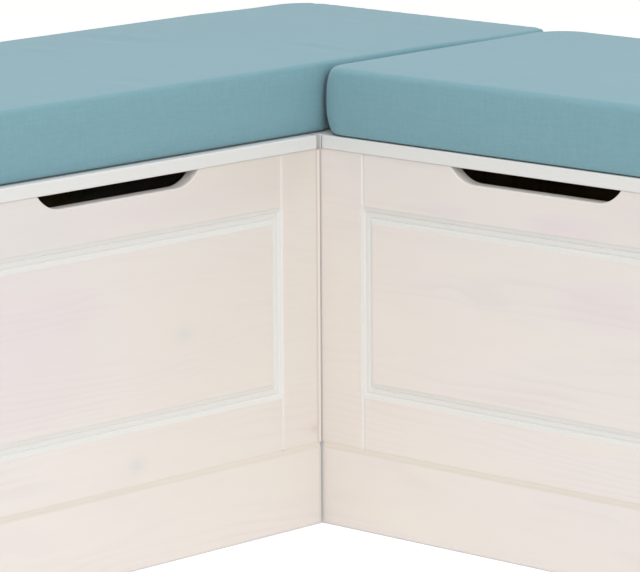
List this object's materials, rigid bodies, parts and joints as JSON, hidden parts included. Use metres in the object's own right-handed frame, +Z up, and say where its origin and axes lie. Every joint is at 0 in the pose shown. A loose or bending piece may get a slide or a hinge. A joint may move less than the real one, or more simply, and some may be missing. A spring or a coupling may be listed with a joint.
{
  "type": "corner storage bench",
  "caption": "L-shaped corner storage bench: white wooden chests with hinged seat lids, routed fronts with grip cut-outs, a fixed corner unit and loose flat seat cushions.",
  "frame": {"origin": "on the floor, under the middle of the box around the bench", "axes": "+Z up; the open inner corner of the L faces -X and -Y; leg A runs along X and faces -Y, leg B runs along Y and faces -X; the wall sides face +X and +Y"},
  "size_m": [1.006, 1.006, 0.5083],
  "materials": {
    "white_wood": "whitewashed pine, satin, grain faintly visible",
    "bare_wood": "bare pine and plywood, sanded",
    "steel": "zinc plated",
    "felt": "grey felt",
    "glide": "nail-on plastic glides",
    "cushion_fabric": "grey-blue woven cotton",
    "foam": "upholstery foam"
  },
  "bodies": {
    "bench": {"front_board_a": "white_wood", "plinth_board_a": "white_wood", "outer_end_panel_a": "white_wood", "inner_end_panel_a": "white_wood", "back_panel_a": "bare_wood", "bottom_panel_a": "bare_wood", "front_cleat_a": "bare_wood", "back_cleat_a": "bare_wood", "end_cleats_a": "bare_wood", "hinge_fixed_leaves_a": "steel", "hinge_pins_a": "steel", "fitting_screws_a": "steel", "stay_guide_a": "steel", "lid_bumpers_a": "felt", "panel_screws_a": "steel", "dowels_a": "bare_wood", "front_board_b": "white_wood", "plinth_board_b": "white_wood", "outer_end_panel_b": "white_wood", "inner_end_panel_b": "bare_wood", "back_panel_b": "bare_wood", "bottom_panel_b": "bare_wood", "front_cleat_b": "bare_wood", "back_cleat_b": "bare_wood", "end_cleats_b": "bare_wood", "hinge_fixed_leaves_b": "steel", "hinge_pins_b": "steel", "fitting_screws_b": "steel", "stay_guide_b": "steel", "lid_bumpers_b": "felt", "panel_screws_b": "steel", "dowels_b": "bare_wood", "corner_panel_a": "white_wood", "corner_panel_b": "bare_wood", "corner_back_a": "bare_wood", "corner_back_b": "bare_wood", "corner_top": "white_wood", "corner_cleats": "bare_wood", "corner_screws": "steel", "corner_panel_screws": "steel", "module_bolts": "steel", "sleeve_nuts": "steel", "floor_glides": "glide"},
    "lid_a": {"lid_a": "white_wood", "lid_battens_a": "bare_wood", "hinge_lid_leaves_a": "steel", "lid_screws_a": "steel", "batten_screws_a": "steel", "stay_arm_a": "steel"},
    "lid_b": {"lid_b": "white_wood", "lid_battens_b": "bare_wood", "hinge_lid_leaves_b": "steel", "lid_screws_b": "steel", "batten_screws_b": "steel", "stay_arm_b": "steel"},
    "cushion_a": {"cushion_cover_a": "cushion_fabric", "cushion_foam_a": "foam"},
    "cushion_b": {"cushion_cover_b": "cushion_fabric", "cushion_foam_b": "foam"}
  },
  "joints": [
    {"name": "lid_a_hinge", "type": "hinge", "parent": "bench", "child": "lid_a", "pos_m": [-0.2, 0.5002, 0.41425], "axis": [-1, 0, 0], "range_deg": [0, 78]},
    {"name": "lid_b_hinge", "type": "hinge", "parent": "bench", "child": "lid_b", "pos_m": [0.5002, -0.2, 0.41425], "axis": [0, 1, 0], "range_deg": [0, 78]},
    {"name": "cushion_a_lift", "type": "slide", "parent": "lid_a", "child": "cushion_a", "axis": [0, 0, 1], "range_m": [0, 0.3]},
    {"name": "cushion_b_lift", "type": "slide", "parent": "lid_b", "child": "cushion_b", "axis": [0, 0, 1], "range_m": [0, 0.3]}
  ]
}
